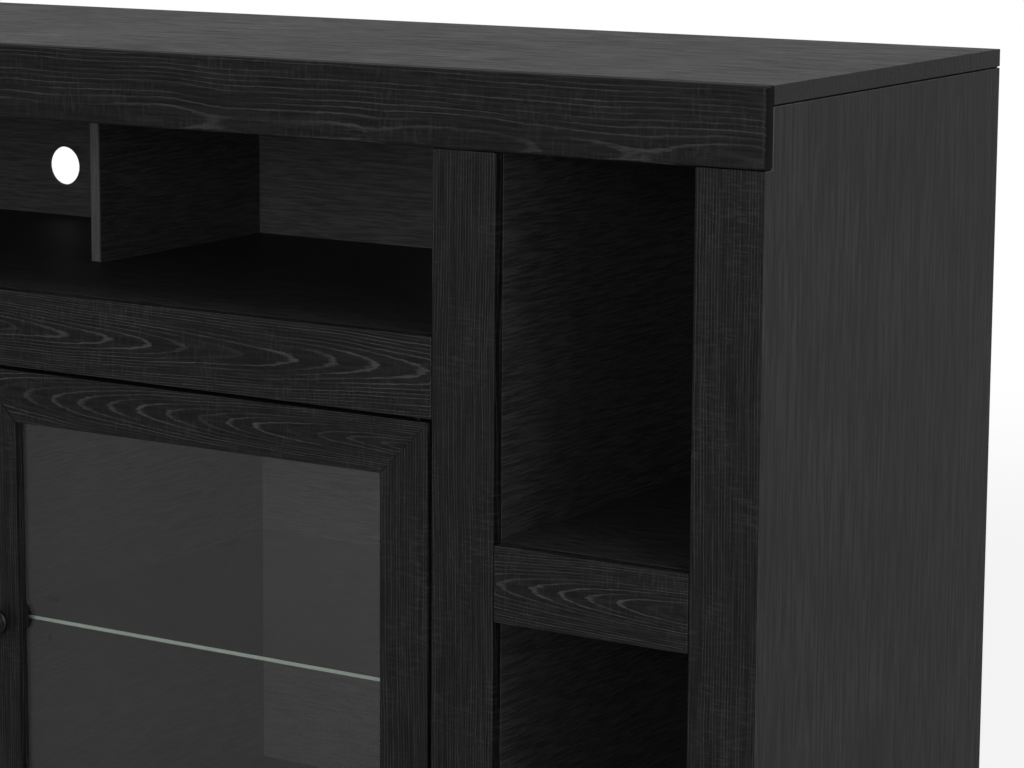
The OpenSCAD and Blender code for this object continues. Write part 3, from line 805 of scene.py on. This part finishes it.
class CABINET_OT_front_frame(bpy.types.Operator):
    """Apron, posts and rails, with their long edges eased"""

    bl_idname = "cabinet.front_frame"
    bl_label = "Front frame"

    def execute(self, context):
        sizes = context.scene.cabinet_edges
        for node, (run, face, heart, height, slope, finish) in FRONT_BOARDS.items():
            low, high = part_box(node)
            piece = block(node + "_board", low, high)
            worn = everywhere
            if node.startswith("outer_post"):
                side = 1 if high.x > 0 else -1
                corner = (high.x if side > 0 else low.x, low.y, 0)
                reach = abs(corner[0])
                # only a strip along the corner gets the painted highlight
                worn = lambda point: abs(point.x) > reach - CORNER_HIGHLIGHT
                saw(piece, corner, (side, 1, 0))
                ease(piece, sizes.mitre, sizes.steps,
                     lambda m, way, long: abs(way.z) > 0.999 and abs(m.x) > reach - MM)
                ease(piece, sizes.front, sizes.steps,
                     lambda m, way, long: abs(way.z) > 0.999 and abs(m.x) < reach - 30 * MM)
            elif node == "apron":
                ease(piece, sizes.apron, 3, lambda m, way, long: m.y < high.y - MM)
            else:
                if node in ("centre_rail", "bottom_rail_centre"):
                    drill_bushes(piece)
                ease(piece, sizes.front, sizes.steps, along(run))
            lay_grain(piece, run, face, heart, height, slope, seed_of(node))
            mark_arrises(piece, sizes.front, worn)
            if node == "apron":
                # the end faces take the darker finish, a painted shade
                two_finishes(piece, finish, "apron_end_painted_shade", lambda face: abs(face.normal.x) > 0.9)
            soft_shading(piece)
            hand_over(piece, CABINET, finish, node)
        return {"FINISHED"}


class CABINET_OT_carcass(bpy.types.Operator):
    """Top, sides, partitions, shelves, bottom and back panels"""

    bl_idname = "cabinet.carcass"
    bl_label = "Carcass boards"

    def execute(self, context):
        sizes = context.scene.cabinet_edges
        for node, (run, face, heart, height, slope, finish, slot) in CARCASS_BOARDS.items():
            piece = machined(node, node + "_board")
            width = BACK_ROUND if node.startswith("back") else sizes.carcass
            front = CAD_BOX[0][1]
            if node == "top_panel":
                groove_under(piece)
                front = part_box(node)[0].y + MM  # square where it meets the apron
            ease(piece, width, sizes.steps,
                 lambda m, way, long: long > CARCASS_SHORT_EDGE and m.y > front)
            lay_grain(piece, run, face, heart, height, slope, seed_of(node))
            mark_arrises(piece, width)
            soft_shading(piece)
            hand_over(piece, CABINET, finish, node)
        return {"FINISHED"}


class CABINET_OT_divider(bpy.types.Operator):
    """Upright between the two upper compartments, with a banded front edge"""

    bl_idname = "cabinet.divider"
    bl_label = "Upper divider"

    def execute(self, context):
        node = "upper_divider"
        low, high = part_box(node)
        piece = block(node + "_board", low, high)
        ease(piece, DIVIDER_ROUND, 3, lambda m, way, long: abs(way.z) > 0.999 and m.y < low.y + MM)
        lay_grain(piece, "y", "z", 0.4, 0.02, 0.01, seed_of(node))
        mark_arrises(piece, MM)
        two_finishes(piece, "inside_wood_painted_highlight", "edge_band", lambda face: (
            face.center.y < low.y + DIVIDER_BAND and abs(face.normal.z) < 0.5))
        soft_shading(piece)
        hand_over(piece, CABINET, "inside_wood_painted_highlight", node)
        return {"FINISHED"}


class CABINET_OT_leg_blocks(bpy.types.Operator):
    """Square blocks under the bottom panel"""

    bl_idname = "cabinet.leg_blocks"
    bl_label = "Leg blocks"

    def execute(self, context):
        low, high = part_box("leg_blocks")
        half = BLOCK_SIDE / 2
        inner_low, inner_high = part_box("inner_post_right")
        post_mid = (inner_low.x + inner_high.x) / 2
        xs = [high.x - half, post_mid, -post_mid, low.x + half]
        spots = [(x, y) for x in xs for y in (low.y + half, high.y - half)]
        spots.append((0, (low.y + high.y) / 2))
        master = block("leg_block", (-half, -half, low.z), (half, half, high.z))
        ease(master, BLOCK_ROUND, 2, along("z"))
        blocks = []
        for x, y in spots:
            take(master)
            bpy.ops.object.duplicate()
            one = bpy.context.object
            one.location = (x, y, 0)
            bpy.ops.object.transform_apply(location=True, rotation=False, scale=False)
            blocks.append(one)
        take(master)
        bpy.ops.object.delete()
        for one in blocks:
            lay_grain(one, "z", "x", -1.4, 0.03, 0.01, seed_of("leg_blocks"))
            mark_arrises(one, BLOCK_ROUND)
        piece = join(blocks, "leg_blocks_eased")
        soft_shading(piece)
        hand_over(piece, CABINET, "post_wood", "leg_blocks")
        return {"FINISHED"}


class CABINET_OT_door_frames(bpy.types.Operator):
    """Mitred stiles and rails with their rebate, and the beads that hold the glass"""

    bl_idname = "cabinet.door_frames"
    bl_label = "Door frames"

    def execute(self, context):
        for door in DOORS:
            for part in ("outer_stile", "inner_stile", "top_rail", "bottom_rail"):
                self.member(context.scene.cabinet_edges, door, part)
            self.beads(door)
        return {"FINISHED"}

    def member(self, sizes, door, part):
        """One stile or rail, mitred at both ends and rebated for the glass."""
        node = f"{door}_{part}"
        low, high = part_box(node)
        side = 1 if door == "door_right" else -1
        piece = block(node + "_board", low, high)
        upright = part.endswith("stile")
        if upright:
            out = side if part == "outer_stile" else -side
            edge = high.x if out > 0 else low.x
            for z, up in ((high.z, 1), (low.z, -1)):
                saw(piece, (edge, low.y, z), (-out, 0, up))
        else:
            out = 1 if part == "top_rail" else -1
            edge = high.z if out > 0 else low.z
            for x, way in ((high.x, 1), (low.x, -1)):
                saw(piece, (x, low.y, edge), (way, 0, -out))
        beads_low, beads_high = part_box(door + "_beads")
        glass_low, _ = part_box(door + "_glass")
        carve(piece, block("rebate", (beads_low.x, glass_low.y, beads_low.z),
                           (beads_high.x, beads_high.y + 2 * MM, beads_high.z)))
        run, face = ("z", "x") if upright else ("x", "z")
        ease(piece, sizes.door, sizes.steps, along(run))
        heart, height, slope = {
            "top_rail": (0.55, 0.012, -0.060 * side),
            "bottom_rail": (0.5, 0.012, 0.04 * side),
        }.get(part, (-0.9, 0.03, 0.01))
        lay_grain(piece, run, face, heart, height, slope, seed_of(node))
        mark_arrises(piece, sizes.door)
        soft_shading(piece)
        finish = "post_wood" if upright else "front_wood"
        hand_over(piece, door, finish, node)

    def beads(self, door):
        """Four strips behind the glass."""
        low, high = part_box(door + "_beads")
        strips = []
        for z in (low.z, high.z - BEAD_WIDE):
            strips.append(block("bead", (low.x, low.y, z), (high.x, high.y, z + BEAD_WIDE)))
        for x in (low.x, high.x - BEAD_WIDE):
            strips.append(block("bead", (x, low.y, low.z + BEAD_WIDE + BEAD_GAP),
                                (x + BEAD_WIDE, high.y, high.z - BEAD_WIDE - BEAD_GAP)))
        for strip in strips:
            run, face = ("x", "z") if strip.dimensions.x > strip.dimensions.z else ("z", "x")
            ease(strip, BEAD_ROUND, 2, along(run))
            lay_grain(strip, run, face, -2.0, 0.02, 0.01, seed_of(door + "_beads"))
            mark_arrises(strip, BEAD_ROUND)
        piece = join(strips, door + "_bead_strips")
        soft_shading(piece)
        hand_over(piece, door, "post_wood", door + "_beads")


class CABINET_OT_glass(bpy.types.Operator):
    """Door panes and glass shelves with ground edges"""

    bl_idname = "cabinet.glass"
    bl_label = "Glass"

    def execute(self, context):
        sizes = context.scene.cabinet_edges
        sheets = [(door + "_glass", door, "door_pane_glass", "door_glass") for door in DOORS]
        sheets += [("glass_shelf_" + side, CABINET, "shelf_sheet_glass", "shelf_glass")
                   for side in ("left", "right")]
        for node, body, finish, slot in sheets:
            piece = block(node + "_sheet", *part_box(node))
            thin = min(range(3), key=lambda i: piece.dimensions[i])
            ease(piece, sizes.glass, 2, longer_than(0))
            two_finishes(piece, finish, "glass_edge", lambda face: (
                abs(face.normal[thin]) < 0.5 and face.normal.y < -0.99))
            soft_shading(piece)
            hand_over(piece, body, finish, node)
        return {"FINISHED"}


class CABINET_OT_knobs(bpy.types.Operator):
    """Turned knobs, one on each door"""

    bl_idname = "cabinet.knobs"
    bl_label = "Knobs"

    def execute(self, context):
        low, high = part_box("door_right_knob")
        wide, reach = (high.x - low.x) / 2, high.y - low.y
        foot = Vector(((low.x + high.x) / 2, high.y, (low.z + high.z) / 2))
        # distance from the door as a share of the reach, and radius as a share of the widest
        shape = [
            (0.0, 0.68), (0.02, 0.70), (0.10, 0.70), (0.135, 0.66), (0.16, 0.56), (0.20, 0.47),
            (0.26, 0.43), (0.38, 0.43), (0.46, 0.50), (0.53, 0.68), (0.58, 0.86), (0.63, 0.96),
            (0.69, 1.0), (0.75, 0.995), (0.81, 0.95), (0.87, 0.85), (0.92, 0.72), (0.96, 0.54),
            (0.985, 0.34), (1.0, 0.12),
        ]
        profile = [(reach * at, wide * radius) for at, radius in shape]
        right = turned("door_right_knob_turned", foot, profile, (0, -1, 0))
        soft_shading(right, 50)
        take(right)
        bpy.ops.object.duplicate()
        left = bpy.context.object
        left.name = left.data.name = "door_left_knob_turned"
        left.location.x = -2 * foot.x
        bpy.ops.object.transform_apply(location=True, rotation=False, scale=False)
        for door, piece in (("door_right", right), ("door_left", left)):
            hand_over(piece, door, "knob_dark_metal", door + "_knob")
        return {"FINISHED"}


class CABINET_OT_catches(bpy.types.Operator):
    """Magnetic catches on the middle partition"""

    bl_idname = "cabinet.catches"
    bl_label = "Magnetic catches"

    def execute(self, context):
        low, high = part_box("magnet_catches")
        cases = []
        for x in (low.x, high.x - CATCH_WIDE):
            one = block("catch", (x, low.y, low.z), (x + CATCH_WIDE, high.y, high.z))
            ease(one, CATCH_ROUND, 3, longer_than(0))
            take(one)
            bpy.ops.object.mode_set(mode="EDIT")
            bpy.ops.mesh.select_all(action="DESELECT")
            mesh = bmesh.from_edit_mesh(one.data)
            front = max((f for f in mesh.faces if f.normal.y < -0.99), key=lambda f: f.calc_area())
            front.select = True
            bmesh.update_edit_mesh(one.data)
            bpy.ops.mesh.inset(thickness=CATCH_RIM)
            bpy.ops.mesh.extrude_region_move(TRANSFORM_OT_translate={"value": (0, CATCH_SUNK, 0)})
            bpy.ops.object.mode_set(mode="OBJECT")
            cases.append(one)
        piece = join(cases, "magnet_catch_cases")
        soft_shading(piece)
        hand_over(piece, CABINET, "moulded_black", "magnet_catches")
        return {"FINISHED"}


class CABINET_OT_fittings(bpy.types.Operator):
    """Finishes of the screws, pins, bushes, dowels and glides that the frame brings"""

    bl_idname = "cabinet.fittings"
    bl_label = "Fittings"

    def execute(self, context):
        for node, finish in KEPT_FITTINGS.items():
            mesh = frame["nodes"][node].data
            mesh.materials.clear()
            mesh.materials.append(finish_named(finish))
        return {"FINISHED"}


class CABINET_OT_stage(bpy.types.Operator):
    """Floor, light and camera"""

    bl_idname = "cabinet.stage"
    bl_label = "Stage"

    def execute(self, context):
        look = context.scene.cabinet_stage
        self.floor(look)
        self.lights(context, look)
        self.camera(context)
        return {"FINISHED"}

    def floor(self, look):
        """A pale round floor that fades out at its rim."""
        start_clean()
        bpy.ops.mesh.primitive_circle_add(
            vertices=96, radius=look.radius, fill_type="NGON", location=(0, 0, -0.5 * MM)
        )
        floor = bpy.context.object
        bpy.ops.object.transform_apply(location=True)
        floor.name = floor.data.name = "floor"
        finish, tree, shader, out = new_finish("floor_paint")
        place = put(tree, "ShaderNodeTexCoord").outputs["Object"]
        away = put(tree, "ShaderNodeVectorMath", {0: place}, operation="LENGTH").outputs["Value"]
        path = put(tree, "ShaderNodeLightPath")
        colour = blend_colours(tree, path.outputs["Is Camera Ray"], shade(look.floor, 0.72),
                               tuple(look.floor))
        tree.links.new(colour, shader.inputs["Base Color"])
        shader.inputs["Roughness"].default_value = 0.85
        shader.inputs["Specular IOR Level"].default_value = 0.2
        glow = put(tree, "ShaderNodeEmission", {"Color": (1, 1, 1, 1), "Strength": 1.0})
        lift = times(tree, path.outputs["Is Camera Ray"], 0.85)
        paint = put(tree, "ShaderNodeMixShader",
                    {0: lift, 1: shader.outputs[0], 2: glow.outputs[0]})
        clear = put(tree, "ShaderNodeBsdfTransparent")
        fade = ramp(tree, away, 0.5 * look.radius, 0.97 * look.radius)
        mix = put(tree, "ShaderNodeMixShader", {0: fade, 1: paint.outputs[0], 2: clear.outputs[0]})
        tree.links.new(mix.outputs[0], out.inputs[0])
        floor.data.materials.append(finish)

    def lights(self, context, look):
        """A lamp above, one in front, a weak one at the side, and even room light."""
        world = bpy.data.worlds.new("studio")
        context.scene.world = world
        world.use_nodes = True
        tree = world.node_tree
        tree.nodes.clear()
        path = put(tree, "ShaderNodeLightPath")
        strength = ramp(tree, path.outputs["Is Camera Ray"], 0, 1, look.room, 1.0, "LINEAR")
        sky = put(tree, "ShaderNodeBackground", {"Color": (1, 1, 1, 1), "Strength": strength})
        out = tree.nodes.new("ShaderNodeOutputWorld")
        tree.links.new(sky.outputs[0], out.inputs[0])
        for name, at, aim, size, power in (
            ("key", (1.75, -0.8, 3.1), (0.2, 0.0, 0.6), 0.9, look.key),
            ("fill", (1.4, -4.2, 1.3), (0.1, 0.0, 0.5), 1.7, look.fill),
            ("side", (3.6, -1.0, 1.4), (0.6, 0.0, 0.5), 1.7, 0.07 * look.fill),
        ):
            lamp = bpy.data.lights.new(name, "AREA")
            lamp.shape, lamp.size, lamp.energy = "DISK", size, power
            holder = bpy.data.objects.new(name, lamp)
            context.scene.collection.objects.link(holder)
            holder.location = at
            holder.rotation_euler = (Vector(aim) - Vector(at)).to_track_quat("-Z", "Y").to_euler()
        context.scene.view_settings.view_transform = "Standard"

    def camera(self, context):
        """A long lens from the front right, a little above the cabinet."""
        lens = bpy.data.cameras.new("camera")
        lens.lens, lens.sensor_width = 114.32, 36
        lens.shift_x, lens.shift_y = 0.12, -0.08
        lens.clip_start, lens.clip_end = 0.1, 60
        holder = bpy.data.objects.new("camera", lens)
        context.scene.collection.objects.link(holder)
        holder.location = (1.779, -2.222, 1.042)
        turn, dip = math.radians(33.818), math.radians(8.931)
        holder.rotation_euler = (math.pi / 2 - dip, 0, turn)
        context.scene.camera = holder


class CABINET_PT_build(bpy.types.Panel):
    """The build steps and the finishes"""

    bl_idname = "CABINET_PT_build"
    bl_label = "Media cabinet"
    bl_space_type = "VIEW_3D"
    bl_region_type = "UI"
    bl_category = "Cabinet"

    def draw(self, context):
        for operator in OPERATORS:
            self.layout.operator(operator.bl_idname)
        for label in GROUPS:
            group = getattr(context.scene, label)
            box = self.layout.box()
            for name in group.bl_rna.properties.keys():
                if name not in ("rna_type", "name"):
                    box.prop(group, name)


OPERATORS = (
    CABINET_OT_front_frame,
    CABINET_OT_carcass,
    CABINET_OT_divider,
    CABINET_OT_leg_blocks,
    CABINET_OT_door_frames,
    CABINET_OT_glass,
    CABINET_OT_knobs,
    CABINET_OT_catches,
    CABINET_OT_fittings,
    CABINET_OT_stage,
)
GROUPS = {"cabinet_edges": CabinetEdges, "cabinet_wood": CabinetWood, "cabinet_stage": CabinetStage}


def register():
    """Adds the classes and the settings to Blender."""
    for group in GROUPS.values():
        bpy.utils.register_class(group)
    for name, group in GROUPS.items():
        setattr(bpy.types.Scene, name, PointerProperty(type=group))
    for operator in (*OPERATORS, CABINET_PT_build):
        bpy.utils.register_class(operator)


def unregister():
    """Takes them away."""
    for operator in reversed((*OPERATORS, CABINET_PT_build)):
        bpy.utils.unregister_class(operator)
    for name in GROUPS:
        delattr(bpy.types.Scene, name)
    for group in GROUPS.values():
        bpy.utils.unregister_class(group)


def main():
    """Builds the cabinet and its stage."""
    register()
    for operator in OPERATORS:
        section, name = operator.bl_idname.split(".")
        getattr(getattr(bpy.ops, section), name)()
    start_clean()


if __name__ == "__main__":
    main()
